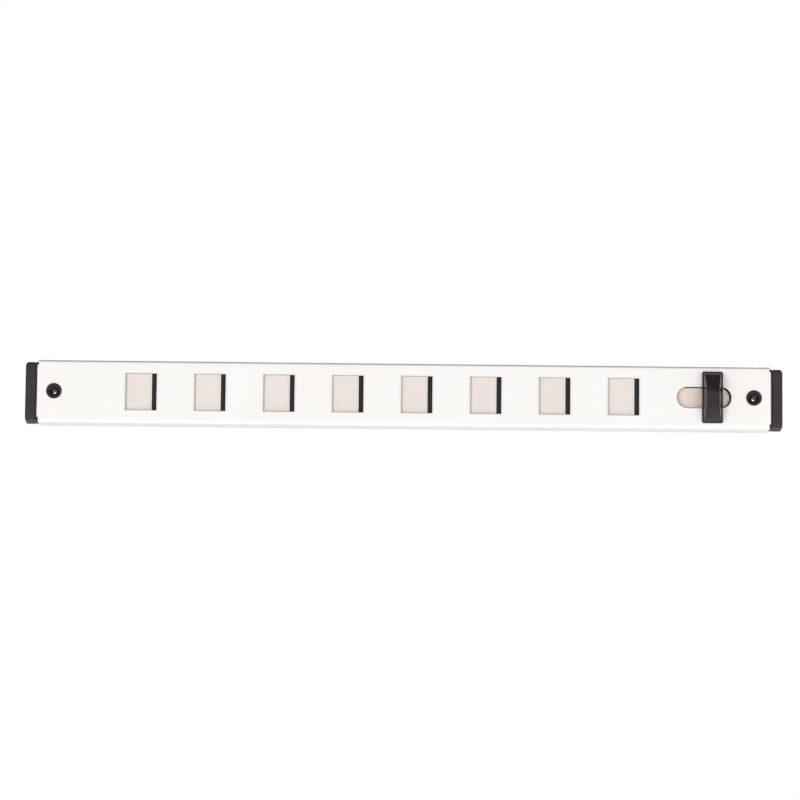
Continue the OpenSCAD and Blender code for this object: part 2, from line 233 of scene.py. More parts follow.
def sheet(name, section, xs, windows, rounds, thickness, edge_round, relief=None):
    """A folded sheet: the outline section carried along X through the stations xs. windows are
    (x, half width, half height) rectangles of cells left out of its front. rounds are
    (x, half spine, radius, margin): a block of cells that reaches margin past a round-ended hole
    is replaced by rings from the block's edge to the hole, each ring point sent to the nearest
    point of the hole's outline. relief is (x, z): cells past both are left out at each corner.
    Solidify adds the thickness inwards, and Bevel rounds the cut edges. The attribute edge is
    exp(-gap / 0.7 mm), with gap the way to the nearest cut edge."""
    outline, first, last = section
    grid = np.stack([np.repeat(xs[:, None], len(outline), 1), np.tile(outline[:, 0], (len(xs), 1)),
                     np.tile(outline[:, 1], (len(xs), 1))], -1)
    number = np.arange(grid[..., 0].size).reshape(grid.shape[:2])
    keep = np.ones((len(xs) - 1, len(outline) - 1), bool)

    def block(x, half_w, half_h):
        """Grid indices of a rectangle on the front, whose cells are dropped."""
        front = outline[first:last + 1, 1]
        i0, i1 = np.abs(xs - x + half_w).argmin(), np.abs(xs - x - half_w).argmin()
        j0, j1 = first + np.abs(front + half_h).argmin(), first + np.abs(front - half_h).argmin()
        keep[i0:i1, j0:j1] = False
        return i0, i1, j0, j1

    points, faces, count = [grid.reshape(-1, 3)], [], number.size
    for window in windows:
        block(*window)
    if relief:
        middle_x, middle_z = (xs[1:] + xs[:-1]) / 2, (outline[1:, 1] + outline[:-1, 1]) / 2
        keep &= ~((abs(middle_x)[:, None] > relief[0]) & (abs(middle_z)[None, :] > relief[1]))
    for x, spine, r, margin in rounds:
        i0, i1, j0, j1 = block(x, spine + r + margin, r + margin)
        rim = np.concatenate([number[i0:i1, j0], number[i1, j0:j1],
                              number[i1:i0:-1, j1], number[i0, j1:j0:-1]])
        outer = points[0][rim]
        core = outer * [1, 1, 0]
        core[:, 0] = np.clip(outer[:, 0], x - spine, x + spine)
        hole = core + (outer - core) / np.linalg.norm(outer - core, axis=1)[:, None] * r
        t = np.array([0.35, 0.65, 0.88, 1])[:, None, None]
        index = np.concatenate([rim[None], count + np.arange(len(t) * len(rim)).reshape(len(t), -1)])
        points.append((outer * (1 - t) + hole * t).reshape(-1, 3))
        count += len(t) * len(rim)
        a, d = index[:-1], index[1:]
        faces.append(np.stack([a, np.roll(a, -1, 1), np.roll(d, -1, 1), d], -1).reshape(-1, 4))
    i, j = np.nonzero(keep)
    faces.append(np.stack([number[i, j], number[i + 1, j], number[i + 1, j + 1], number[i, j + 1]], -1))
    used, faces_used = np.unique(np.concatenate(faces), return_inverse=True)
    piece = finish_mesh(name, np.concatenate(points)[used], [faces_used.reshape(-1, 4)])

    def edge_nearness(p):
        gap = xs[-1] - np.abs(p[:, 0])
        for x, half_w, half_h in windows:
            side = np.maximum([np.abs(p[:, 0] - x) - half_w, np.abs(p[:, 2]) - half_h], 0)
            gap = np.minimum(gap, np.hypot(*side))
        for x, spine, r, _ in rounds:
            along = np.maximum(np.abs(p[:, 0] - x) - spine, 0)
            gap = np.minimum(gap, np.maximum(np.hypot(along, p[:, 2]) - r, 0))
        return np.exp(-gap / (0.7 * MM))
    put_attribute(piece, "edge", edge_nearness)

    solid = piece.modifiers.new("thickness", "SOLIDIFY")
    solid.thickness, solid.offset, solid.use_even_offset = thickness, -1, True
    bevel = piece.modifiers.new("edges", "BEVEL")
    bevel.width, bevel.segments, bevel.limit_method = edge_round, 2, "ANGLE"
    bevel.angle_limit, bevel.harden_normals = math.radians(50), True
    return piece


# ---------------------------------------------------------------- material helpers

def shader(name, **sockets):
    """A material whose Principled shader has the given constants on its own sockets."""
    mat = bpy.data.materials.new(name)
    mat.use_nodes = True
    bsdf = mat.node_tree.nodes["Principled BSDF"]
    for socket, value in sockets.items():
        bsdf.inputs[socket.replace("_", " ")].default_value = value
    return mat, mat.node_tree, bsdf


def texture(tree, kind, scale, stretch=(1, 1, 1), **inputs):
    """Noise, Voronoi or Wave on the piece's own coordinates in metres."""
    place = tree.nodes.new("ShaderNodeTexCoord")
    mapping = tree.nodes.new("ShaderNodeMapping")
    mapping.inputs["Scale"].default_value = stretch
    tree.links.new(place.outputs["Object"], mapping.inputs["Vector"])
    node = tree.nodes.new("ShaderNodeTex" + kind)
    tree.links.new(mapping.outputs["Vector"], node.inputs["Vector"])
    node.inputs["Scale"].default_value = scale
    for socket, value in inputs.items():
        node.inputs[socket].default_value = value
    return node.outputs["Distance" if kind == "Voronoi" else "Fac"]


def attribute(tree, name):
    node = tree.nodes.new("ShaderNodeAttribute")
    node.attribute_name = name
    return node.outputs["Fac"]


def level(tree, value, low, high, to_low, to_high):
    """The value mapped in a straight line from low..high to to_low..to_high, and clamped."""
    node = tree.nodes.new("ShaderNodeMapRange")
    tree.links.new(value, node.inputs["Value"])
    for socket, v in zip(("From Min", "From Max", "To Min", "To Max"), (low, high, to_low, to_high)):
        node.inputs[socket].default_value = v
    return node.outputs["Result"]


def maths(tree, operation, a, b):
    node = tree.nodes.new("ShaderNodeMath")
    node.operation = operation
    for k, v in enumerate((a, b)):
        if isinstance(v, (int, float)):
            node.inputs[k].default_value = v
        else:
            tree.links.new(v, node.inputs[k])
    return node.outputs["Value"]


def ramp(tree, value, *stops):
    """Colours (place, (r, g, b)) blended along the value."""
    node = tree.nodes.new("ShaderNodeValToRGB")
    tree.links.new(value, node.inputs["Fac"])
    elements = node.color_ramp.elements
    for k, (at, colour) in enumerate(stops):
        element = elements[k] if k < 2 else elements.new(at)
        element.position, element.color = at, (*colour, 1)
    return node.outputs["Color"]


def blend(tree, factor, a, b, mode="MIX"):
    """Colour a mixed with colour b; either is a socket or an (r, g, b)."""
    node = tree.nodes.new("ShaderNodeMix")
    node.data_type, node.blend_type = "RGBA", mode
    for socket, v in ((0, factor), (6, a), (7, b)):
        if isinstance(v, bpy.types.NodeSocket):
            tree.links.new(v, node.inputs[socket])
        else:
            node.inputs[socket].default_value = v if socket == 0 else (*v, 1)
    return node.outputs[2]


def bump(tree, bsdf, *heights):
    """A chain of Bump nodes, one per (height socket, depth in metres)."""
    normal = None
    for height, depth in heights:
        node = tree.nodes.new("ShaderNodeBump")
        node.inputs["Distance"].default_value = depth
        tree.links.new(height, node.inputs["Height"])
        if normal:
            tree.links.new(normal, node.inputs["Normal"])
        normal = node.outputs["Normal"]
    tree.links.new(normal, bsdf.inputs["Normal"])


# ---------------------------------------------------------------- materials

def white_coating():
    """Stoved white coating: soft orange peel, slow shifts of tone, a few dust nibs, greyer near
    the cut edges (a thinner coat there, and painted shade along the window rims), and painted
    shade along the upper fold, darker where the normal leans upwards but isn't upright."""
    mat, tree, bsdf = shader("white_coating", IOR=1.5)
    cloud = texture(tree, "Noise", 22, Detail=3.0)
    body = ramp(tree, cloud, (0.35, (0.945, 0.926, 0.905)), (0.65, (0.965, 0.950, 0.930)))
    nibs = level(tree, texture(tree, "Voronoi", 170, Randomness=1.0), 0.02, 0.045, 1, 0)
    body = blend(tree, maths(tree, "MULTIPLY", nibs, 0.22), body, (0.52, 0.49, 0.46))
    # greyer near every cut edge: partly a thinner coat over the cut, partly painted shade along the window
    # rims
    edge = level(tree, attribute(tree, "edge"), 0.55, 1.0, 0, 0.5)
    body = blend(tree, edge, body, (0.62, 0.60, 0.58))
    facing, parts = tree.nodes.new("ShaderNodeNewGeometry"), tree.nodes.new("ShaderNodeSeparateXYZ")
    tree.links.new(facing.outputs["Normal"], parts.inputs["Vector"])
    up = parts.outputs["Z"]
    # painted shade: where the normal leans upwards but isn't upright, the white is pulled towards grey,
    # standing in for the top fold getting less light
    leaning, upright = level(tree, up, 0.2, 0.55, 0, 0.7), level(tree, up, 0.93, 0.99, 1, 0.1)
    fold_painted_shade = maths(tree, "MULTIPLY", leaning, upright)
    tree.links.new(blend(tree, fold_painted_shade, body, (0.50, 0.47, 0.45)), bsdf.inputs["Base Color"])
    peel = texture(tree, "Noise", 430, Detail=1.5)
    tree.links.new(level(tree, peel, 0.3, 0.7, 0.34, 0.44), bsdf.inputs["Roughness"])
    bump(tree, bsdf, (peel, 0.000022), (texture(tree, "Noise", 2600, Detail=2.0), 0.000003))
    return mat


def pale_moulding():
    """Warm pale plastic with fine spark-eroded grain and a faint mottle."""
    mat, tree, bsdf = shader("pale_moulding", IOR=1.46)
    mottle = texture(tree, "Noise", 640, Detail=4.0, Roughness=0.7)
    drift = texture(tree, "Noise", 14, Detail=2.0)
    body = ramp(tree, mottle, (0.3, (0.810, 0.725, 0.680)), (0.7, (0.905, 0.825, 0.785)))
    body = blend(tree, level(tree, drift, 0.35, 0.65, 0, 0.35), body, (0.835, 0.745, 0.695))
    tree.links.new(body, bsdf.inputs["Base Color"])
    grain = texture(tree, "Noise", 2300, Detail=3.0)
    tree.links.new(level(tree, grain, 0.3, 0.7, 0.48, 0.62), bsdf.inputs["Roughness"])
    bump(tree, bsdf, (grain, 0.000012), (mottle, 0.000008))
    return mat


def pale_enamel():
    """Beige lacquer on the knob's arm, scuffed along its length where it rubs the casing."""
    mat, tree, bsdf = shader("pale_enamel", IOR=1.5)
    cloud = texture(tree, "Noise", 260, Detail=4.0)
    body = ramp(tree, cloud, (0.3, (0.820, 0.680, 0.605)), (0.7, (0.890, 0.750, 0.675)))
    scuffs = texture(tree, "Noise", 300, stretch=(0.12, 1, 3), Detail=5.0)
    rubbed = level(tree, scuffs, 0.60, 0.72, 0, 0.45)
    tree.links.new(blend(tree, rubbed, body, (0.60, 0.52, 0.47)), bsdf.inputs["Base Color"])
    tree.links.new(level(tree, scuffs, 0.3, 0.7, 0.36, 0.50), bsdf.inputs["Roughness"])
    bump(tree, bsdf, (scuffs, 0.000008), (cloud, 0.000010))
    return mat


def black_plastic(name, ior, low, high, gloss, grain_depth):
    """Moulded black plastic: fine grain, slow changes of gloss, hair scratches along Z that catch
    the light, and paler edges where the stored edge weight is high: worn plastic on the caps and
    bushes, and on the knob also a painted highlight along its rounded crown edges. The colours go
    from low to high with the cloud, and gloss is the lowest roughness."""
    mat, tree, bsdf = shader(name, IOR=ior)
    cloud = texture(tree, "Noise", 120, Detail=4.0)
    body = ramp(tree, cloud, (0.3, low), (0.7, high))
    scratches = texture(tree, "Noise", 900, stretch=(2.2, 2.2, 0.07), Detail=3.0)
    hair = level(tree, scratches, 0.68, 0.76, 0, 0.35)
    body = blend(tree, hair, body, tuple(4.0 * c for c in high))
    # paler edges: worn plastic, and on the knob a painted highlight along the rounded crown edges
    wear_and_sheen = level(tree, attribute(tree, "wear_and_sheen"), 0.2, 1.0, 0, 0.35)
    patchy = maths(tree, "MULTIPLY", wear_and_sheen, level(tree, cloud, 0.35, 0.6, 0.35, 1.0))
    tree.links.new(blend(tree, patchy, body, tuple(3.2 * c for c in high)), bsdf.inputs["Base Color"])
    grain = texture(tree, "Noise", 2600, Detail=2.0)
    smear = level(tree, cloud, 0.3, 0.7, gloss, gloss + 0.12)
    rough = maths(tree, "ADD", smear, level(tree, grain, 0.3, 0.7, -0.03, 0.05))
    tree.links.new(rough, bsdf.inputs["Roughness"])
    bump(tree, bsdf, (grain, grain_depth), (scratches, 0.000002))
    return mat


def ferrite():
    """Sintered ferrite: nearly black, dry, with fine pores and the faint lines of its grinding."""
    mat, tree, bsdf = shader("ferrite", IOR=1.4)
    cloud = texture(tree, "Noise", 420, Detail=6.0, Roughness=0.65)
    body = ramp(tree, cloud, (0.3, (0.012, 0.007, 0.006)), (0.75, (0.030, 0.021, 0.019)))
    pores = level(tree, texture(tree, "Voronoi", 1300), 0.10, 0.22, 1, 0)
    tree.links.new(blend(tree, maths(tree, "MULTIPLY", pores, 0.6), body, (0.012, 0.010, 0.010)),
                   bsdf.inputs["Base Color"])
    lines = texture(tree, "Noise", 1500, stretch=(1, 1, 0.05), Detail=2.0)
    tree.links.new(level(tree, lines, 0.3, 0.7, 0.50, 0.68), bsdf.inputs["Roughness"])
    bump(tree, bsdf, (lines, 0.000006), (cloud, 0.000016), (pores, -0.00001))
    return mat


def metal(name, low, high, rough, stretch, scale, depth, metallic=1.0):
    """Plain or plated steel: two tones over fine lines of the given scale, stretch and depth, which
    also set its roughness."""
    mat, tree, bsdf = shader(name, Metallic=metallic)
    lines = texture(tree, "Noise", scale, stretch=stretch, Detail=4.0)
    stain = texture(tree, "Noise", 55, Detail=3.0)
    body = blend(tree, level(tree, stain, 0.35, 0.65, 0, 1), low, high)
    body = blend(tree, level(tree, lines, 0.3, 0.7, 0.0, 0.35), body, tuple(0.72 * c for c in low))
    tree.links.new(body, bsdf.inputs["Base Color"])
    tree.links.new(level(tree, lines, 0.25, 0.75, rough - 0.08, rough + 0.10), bsdf.inputs["Roughness"])
    bump(tree, bsdf, (lines, depth))
    return mat


def galvanised():
    """Hot-dip zinc: large flat spangles, each with its own tone and gloss, under a dull bloom."""
    mat, tree, bsdf = shader("galvanised", Metallic=1.0)
    place = tree.nodes.new("ShaderNodeTexCoord")
    warp = tree.nodes.new("ShaderNodeTexNoise")
    warp.inputs["Scale"].default_value = 90
    tree.links.new(place.outputs["Object"], warp.inputs["Vector"])
    spangle = tree.nodes.new("ShaderNodeTexVoronoi")
    spangle.inputs["Scale"].default_value = 105
    tree.links.new(blend(tree, 0.012, place.outputs["Object"], warp.outputs["Color"], "ADD"),
                   spangle.inputs["Vector"])
    tone = tree.nodes.new("ShaderNodeSeparateColor")
    tree.links.new(spangle.outputs["Color"], tone.inputs["Color"])
    body = ramp(tree, tone.outputs["Red"], (0.0, (0.40, 0.42, 0.44)), (0.5, (0.52, 0.54, 0.56)),
                (1.0, (0.66, 0.68, 0.70)))
    bloom = level(tree, texture(tree, "Noise", 45, Detail=5.0), 0.45, 0.75, 0, 0.5)
    tree.links.new(blend(tree, bloom, body, (0.56, 0.57, 0.57)), bsdf.inputs["Base Color"])
    tree.links.new(level(tree, tone.outputs["Green"], 0, 1, 0.30, 0.55), bsdf.inputs["Roughness"])
    bump(tree, bsdf, (tone.outputs["Blue"], 0.00001), (texture(tree, "Noise", 1500), 0.000004))
    return mat


def natural_nylon():
    """Undyed nylon with soft flow marks along its length."""
    mat, tree, bsdf = shader("natural_nylon", IOR=1.53)
    flow = texture(tree, "Noise", 120, stretch=(0.1, 1, 1), Detail=3.0)
    tree.links.new(ramp(tree, flow, (0.3, (0.70, 0.67, 0.58)), (0.7, (0.80, 0.78, 0.70))),
                   bsdf.inputs["Base Color"])
    tree.links.new(level(tree, flow, 0.3, 0.7, 0.35, 0.5), bsdf.inputs["Roughness"])
    bump(tree, bsdf, (texture(tree, "Noise", 900, Detail=2.0), 0.00001))
    return mat


def studio_floor():
    """Matt pale paper, clear from behind, so that it never hides the rack from below."""
    mat, tree, bsdf = shader("studio_floor", Roughness=0.9)
    cloud = texture(tree, "Noise", 3, Detail=2.0)
    tree.links.new(ramp(tree, cloud, (0.3, (0.83, 0.825, 0.815)), (0.7, (0.85, 0.845, 0.835))),
                   bsdf.inputs["Base Color"])
    side, clear = tree.nodes.new("ShaderNodeNewGeometry"), tree.nodes.new("ShaderNodeBsdfTransparent")
    mix = tree.nodes.new("ShaderNodeMixShader")
    tree.links.new(side.outputs["Backfacing"], mix.inputs["Fac"])
    tree.links.new(bsdf.outputs["BSDF"], mix.inputs[1])
    tree.links.new(clear.outputs["BSDF"], mix.inputs[2])
    tree.links.new(mix.outputs["Shader"], tree.nodes["Material Output"].inputs["Surface"])
    return mat


WHITE = white_coating()
PALE = pale_moulding()
BEIGE = pale_enamel()
CAP_BLACK = black_plastic("cap_plastic", 1.40, (0.028, 0.019, 0.019), (0.040, 0.028, 0.028),
                          gloss=0.44, grain_depth=0.00001)
KNOB_BLACK = black_plastic("knob_plastic", 1.50, (0.015, 0.010, 0.009), (0.022, 0.016, 0.014),
                           gloss=0.12, grain_depth=0.000003)
BUSH_BLACK = black_plastic("bush_plastic", 1.45, (0.014, 0.008, 0.007), (0.022, 0.014, 0.013),
                           gloss=0.32, grain_depth=0.000003)
FERRITE = ferrite()
ZINC = metal("zinc_plate", (0.60, 0.60, 0.58), (0.72, 0.73, 0.74), 0.30, (1, 1, 1), 700, 0.000003)
# near-white and almost non-metallic: a painted highlight for the glint on the pole plates' edges, not the
# steel's own colour
POLE_GLINT_WHITE = metal("zinc_with_painted_glint", (0.93, 0.93, 0.92), (0.97, 0.97, 0.97), 0.42, (1, 1, 0.06), 1600, 0.000003,
             metallic=0.1)
YOKE = metal("mild_steel", (0.34, 0.34, 0.35), (0.44, 0.44, 0.45), 0.42, (0.05, 1, 1), 900, 0.000004)
SPRING = metal("spring_steel", (0.24, 0.23, 0.24), (0.36, 0.34, 0.32), 0.30, (0.06, 1, 1), 1300,
               0.000003)
# bare steel inside the casing and at its cut edges, given a near-black tone: painted shade for the dark
# interior and the dark window outlines
BARE_SHADED = metal("bare_steel_painted_shade", (0.13, 0.13, 0.13), (0.18, 0.18, 0.18), 0.50, (0.05, 1, 1), 700,
             0.000004)
GALVANISED = galvanised()
NYLON = natural_nylon()


def place(piece, body, slot, nodes, *mats):
    """Gives a piece its materials and body, and hides the CAD nodes that it stands for. slot is not used.
    """
    for mat in mats:
        piece.data.materials.append(mat)
    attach(piece, body)
    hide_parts(*nodes)
    return piece


# ---------------------------------------------------------------- sizes taken from the frame, and given sizes

slide_range = frame["joints"][0]["range_m"]
travel_on, travel_off = -slide_range[0], slide_range[1]
magnet_nodes = [f"magnet_{i}" for i in range(1, 9)]
magnet_x = np.array([span(node, 0)[1] for node in magnet_nodes])
window_x = magnet_x - travel_on
knob_x = span("slider_knob", 0)[1]
slot_x = knob_x - (travel_on - travel_off) / 2
screw_x = span("right_wall_bush", 0)[1]
casing_x, casing_h = span("front_casing", 0)[2], 2 * span("front_casing", 2)[2]
front_y = span("front_casing", 1)[0]

SHEET_T, FOLD_R, LIP_H = 1.2 * MM, 1.8 * MM, 5.2 * MM
RELIEF_L, RELIEF_H = 0.9 * MM, 3.3 * MM
WINDOW_W, WINDOW_H = 20.4 * MM, 24.5 * MM
SLOT_L, SLOT_H = 36.0 * MM, 14.0 * MM
CAP_L, CAP_INSET = cad_high[0] - casing_x, 1.3 * MM
CAP_R, CAP_CORNER = 1.8 * MM, 2.4 * MM
BUSH_HOLE_R = 4.05 * MM
SCREW_BORE_R = 1.85 * MM
EDGE_R = 0.22 * MM
RUN_GAP, FIT_GAP, PLUG_GAP = 0.3 * MM, 0.05 * MM, 0.1 * MM


# ---------------------------------------------------------------- fixed pieces

def make_front_casing():
    """White folded casing with its windows, slot and bush holes; bare steel inside and at the cuts,
    coloured far darker than steel as painted shade.
    """
    half_h = casing_h / 2
    corners = [(0, LIP_H - half_h), (0, -half_h), (front_y, -half_h),
               (front_y, half_h), (0, half_h), (0, half_h - LIP_H)]
    bush_margin, slot_margin = 2 * MM, 2 * MM
    tall = SLOT_H / 2 + slot_margin
    ring = BUSH_HOLE_R + bush_margin
    heights = [-WINDOW_H / 2, WINDOW_H / 2, *np.linspace(-ring, ring, 13), -tall, tall,
               RELIEF_H - half_h, half_h - RELIEF_H]
    section = folded_section(corners, FOLD_R, grid_lines(heights, 3 * MM), 3 * MM)
    slot_reach = SLOT_L / 2 + slot_margin
    xs = [[-casing_x, casing_x, RELIEF_L - casing_x, casing_x - RELIEF_L],
          window_x - WINDOW_W / 2, window_x + WINDOW_W / 2,
          np.linspace(slot_x - slot_reach, slot_x + slot_reach, 39),
          np.linspace(screw_x - ring, screw_x + ring, 13), np.linspace(-screw_x - ring, ring - screw_x, 13)]
    windows = [(x, WINDOW_W / 2, WINDOW_H / 2) for x in window_x]
    rounds = [(slot_x, (SLOT_L - SLOT_H) / 2, SLOT_H / 2, slot_margin),
              (screw_x, 0, BUSH_HOLE_R, bush_margin), (-screw_x, 0, BUSH_HOLE_R, bush_margin)]
    piece = sheet("casing", section, grid_lines(np.concatenate(xs), 4 * MM), windows, rounds,
                  SHEET_T, EDGE_R, (casing_x - RELIEF_L, half_h - RELIEF_H))
    piece.modifiers["thickness"].material_offset = 1
    piece.modifiers["thickness"].material_offset_rim = 1
    place(piece, "rack", "casing_white", ["front_casing"], WHITE, BARE_SHADED)


def cap_stations():
    """The end cap's shell from the floor of its hollow, out round the plug and on to its tip. Each
    row has x, front, back, half height and front corner radius."""
    tip, half_h, back_y = casing_x + CAP_L, casing_h / 2, -FIT_GAP
    face, top = front_y + 0.4 * CAP_INSET, half_h - CAP_INSET
    plug_x, floor_x, wall = casing_x - 5.8 * MM, tip - 2.2 * MM, 1.9 * MM

    def inside(gap):
        """Front, back and half height at a gap from the casing's inner faces."""
        return front_y + SHEET_T + gap, -SHEET_T - gap, half_h - SHEET_T - gap

    rows = [(floor_x, *inside(wall), 0.5 * MM), (plug_x + 0.2 * MM, *inside(wall), 0.5 * MM),
            (plug_x, *inside(wall - 0.2 * MM), 0.6 * MM), (plug_x, *inside(PLUG_GAP + 0.4 * MM), 0.5 * MM),
            (plug_x + 0.4 * MM, *inside(PLUG_GAP), 0.6 * MM),
            (casing_x - 0.01 * MM, *inside(PLUG_GAP), 0.6 * MM)]
    shoulder = [(0.0, 0.12), (0.06, 0.03), (0.2, 0), (0.7, 0), (0.83, 0.04), (0.89, 0.16)]
    groove = [(0.92, 0.4), (1.0, 0.45), (1.3, 0.45), (1.38, 0.25), (1.45, 0.06), (1.6, 0)]
    for out, deep in shoulder + groove:
        rows.append((casing_x + out * MM, face + deep * MM, back_y, top - deep * MM, FOLD_R))
    for x in np.linspace(casing_x + 2.2 * MM, tip - CAP_R - 0.3 * MM, 4):
        rows.append((x, face, back_y, top, FOLD_R))
    a = np.linspace(0, math.pi / 2, 10)
    side_r = CAP_R / 2
    for x, drop in zip(tip - CAP_R + CAP_R * np.sin(a), CAP_R * (1 - np.cos(a))):
        beyond = min(max(x - (tip - side_r), 0), side_r)
        half_z = top - side_r + math.sqrt(side_r ** 2 - beyond ** 2)
        rows.append((x, face + drop, back_y, half_z, FOLD_R))
    return np.array(rows).T, tip, face, top, back_y


def make_end_cap(node, side):
    """Hollow plug, shoulder, groove and rounded end, and a tab at each corner. The shell is
    rounded rectangles carried along X. Towards the tip the front edge follows a quarter circle,
    and the heights are drawn in near the front by CAP_CORNER c^1.3, with c rising from 0 to 1
    towards the tip, so that the two front corners are cut off. Both end rings close to a line."""
    stations, tip, face, top, back_y = cap_stations()
    closing = np.array([1e-4, 0.4, 0.75])
    shrink = np.concatenate([closing, np.ones(stations.shape[1]), closing[::-1]])
    x, front, back, half_z, radius = np.pad(stations, ((0, 0), (len(closing), len(closing))), "edge")
    wall_r = np.full_like(radius, 0.3 * MM)
    corner = np.stack([wall_r, radius, radius, wall_r], 1) * shrink[:, None]
    flat = outlines((back - front) / 2 * shrink, half_z * shrink, corner, arc=6, short=5, long=10)
    y, z = (front + back)[:, None] / 2 + flat[..., 0], flat[..., 1]
    c = np.clip(1 - (tip - x) / (0.62 * CAP_CORNER), 0, 1)[:, None]
    near_front = np.clip(1 - (y - face) / (1.7 * CAP_CORNER), 0, 1)
    z = z * (1 - CAP_CORNER / top * c ** 1.3 * near_front)
    shell = np.stack([np.repeat(x[:, None], z.shape[1], 1), y, z], -1)
    piece = loft(node + "_shell", shell * [side, 1, 1])

    overlap = 0.4 * MM
    tab_l, tab_h = RELIEF_L - RUN_GAP + overlap, RELIEF_H - RUN_GAP - CAP_INSET
    tab_x = side * (casing_x + overlap - tab_l / 2)
    tabs = [slab_rings(tab_l / 2, tab_h / 2, np.full(4, 0.2 * MM), face, back_y,
                       (tab_x, sz * (top - tab_h / 2)), 0.25 * MM) for sz in (-1, 1)]
    join(piece, loft(node + "_tabs", np.stack(tabs)))

    def wear_and_sheen(p):
        from_edge = np.abs(np.abs(p[:, 0]) - (tip - 0.5 * MM))
        return np.clip(1 - from_edge / (0.8 * MM), 0, 1) * (p[:, 1] < face + 3 * MM)
    put_attribute(piece, "wear_and_sheen", wear_and_sheen)
    place(piece, "rack", "cap_black", [node], CAP_BLACK)


def make_wall_bush(node, x):
    """Countersunk spacer bush, turned from one closed outline with softened corners: a spigot in
    the back plate, a tube through the casing, and a head whose sink narrows to the screw's bore."""
    head_y, head = span(node, 1)[0], span(node, 2)[2]
    plate_y = span("back_plate", 1)[0]
    tube, spigot, sink = 4 * MM, 3 * MM, 1.9 * MM
    corners = [(spigot, 0), (spigot, plate_y), (tube, plate_y), (tube, front_y), (head, front_y),
               (head, head_y), (SCREW_BORE_R + sink, head_y), (SCREW_BORE_R, head_y + sink),
               (SCREW_BORE_R, 0)]
    radii = np.array([0.2, 0.1, 0.2, 0.05, 0.08, 0.38, 0.12, 0.25, 0.2]) * MM
    piece = lathe(node + "_turned", fillet(corners, radii), x)

    def wear_and_sheen(p):
        from_rim = np.abs(np.hypot(p[:, 0] - x, p[:, 2]) - head + 0.4 * MM)
        return np.clip(1 - from_rim / (0.3 * MM), 0, 1) * (p[:, 1] < front_y)
    put_attribute(piece, "wear_and_sheen", wear_and_sheen)
    place(piece, "rack", "bush_black", [node], BUSH_BLACK)


def make_rail_screws():
    """Ten pan-head screws, each one closed surface of rings about its axis. The head's height is
    a dome h(1 - 0.45 r^4) less a cross-shaped recess, and the shank ends in a point."""
    low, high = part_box("rail_screws")
    head_r, head_h, shank_r, point_l = 2.1 * MM, 1.1 * MM, 0.9 * MM, 1.2 * MM
    arm_w, arm_reach, recess = 0.42 * MM, 1.35 * MM, 0.6 * MM
    plate, tip = high[1] - head_h, low[1]
    a = np.linspace(0, 2 * math.pi, 64, endpoint=False)
    r = np.concatenate([[0], np.linspace(0.06, 0.94, 22), [0.98, 1]])[:, None] * head_r
    x, z = r * np.cos(a), r * np.sin(a)
    near, far = np.minimum(abs(x), abs(z)), np.maximum(abs(x), abs(z))
    cross = np.clip((arm_w - near) / (0.12 * MM), 0, 1) * np.clip((arm_reach - far) / (0.3 * MM), 0, 1)
    dome = head_h * (1 - 0.45 * (r / head_r) ** 4)
    top = np.stack([x, plate + dome - recess * cross, z], -1)
    r, y = np.array([(head_r, plate), (shank_r, plate), (shank_r, tip + point_l),
                     (0.3 * MM, tip + 0.1 * MM), (0, tip)]).T[:, :, None]
    under = np.stack([r * np.cos(a), y + 0 * a, r * np.sin(a)], -1)
    one = np.concatenate([top, under])
    xs = np.linspace(low[0] + head_r, high[0] - head_r, 5)
    spots = np.array([(sx, 0, sz) for sx in xs for sz in (low[2] + head_r, high[2] - head_r)])
    piece = loft("rail_screw_set", one[None] + spots[:, None, None, :], smooth_angle=45)
    place(piece, "rack", "screw_zinc", ["rail_screws"], ZINC)


# ---------------------------------------------------------------- sliding pieces

def make_carrier():
    """Pale moulded tray: a web with a pocket at each magnet and a flange along each long edge."""
    low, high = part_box("carrier_strip")
    pocket, fold_r, wall, edge_r = (10.85 * MM, 13.6 * MM), 0.5 * MM, 1.0 * MM, 0.12 * MM
    corners = [(high[1], low[2]), (low[1], low[2]), (low[1], high[2]), (high[1], high[2])]
    section = folded_section(corners, fold_r, grid_lines([-pocket[1], pocket[1]], 4 * MM), 4 * MM)
    xs = np.concatenate([[low[0], high[0]], magnet_x - pocket[0], magnet_x + pocket[0]])
    piece = sheet("carrier", section, grid_lines(xs, 5 * MM), [(x, *pocket) for x in magnet_x], [],
                  wall, edge_r)
    place(piece, "slide", "carrier_pale", ["carrier_strip"], PALE)


def make_magnets():
    """One ferrite block per pocket, with its own small chips along the front edge. Their depth is
    the positive part of a sum of eleven sine waves round the outline, of chance size and phase."""
    chance = np.random.default_rng(7)
    corner_r, edge_r, chip = 0.5 * MM, 0.3 * MM, 0.04 * MM
    waves = np.arange(3, 14)[:, None]
    around = np.linspace(0, 2 * math.pi, outlines(1.0, 1.0, 0.1).shape[1], endpoint=False)
    for node, x in zip(magnet_nodes, magnet_x):
        low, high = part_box(node)
        sizes, phases = chance.uniform(0.2, 1, waves.shape), chance.uniform(0, 6.28, waves.shape)
        chips = chip * np.maximum(0, (sizes * np.sin(waves * around + phases)).sum(0) / 2.2)
        half_w, half_h = (high[0] - low[0]) / 2, (high[2] - low[2]) / 2
        rings = slab_rings(half_w, half_h, np.full(4, corner_r), low[1], high[1], (x, 0), edge_r,
                           chips[None, :])
        place(loft(node + "_block", rings), "slide", "magnet_black", [node], FERRITE)


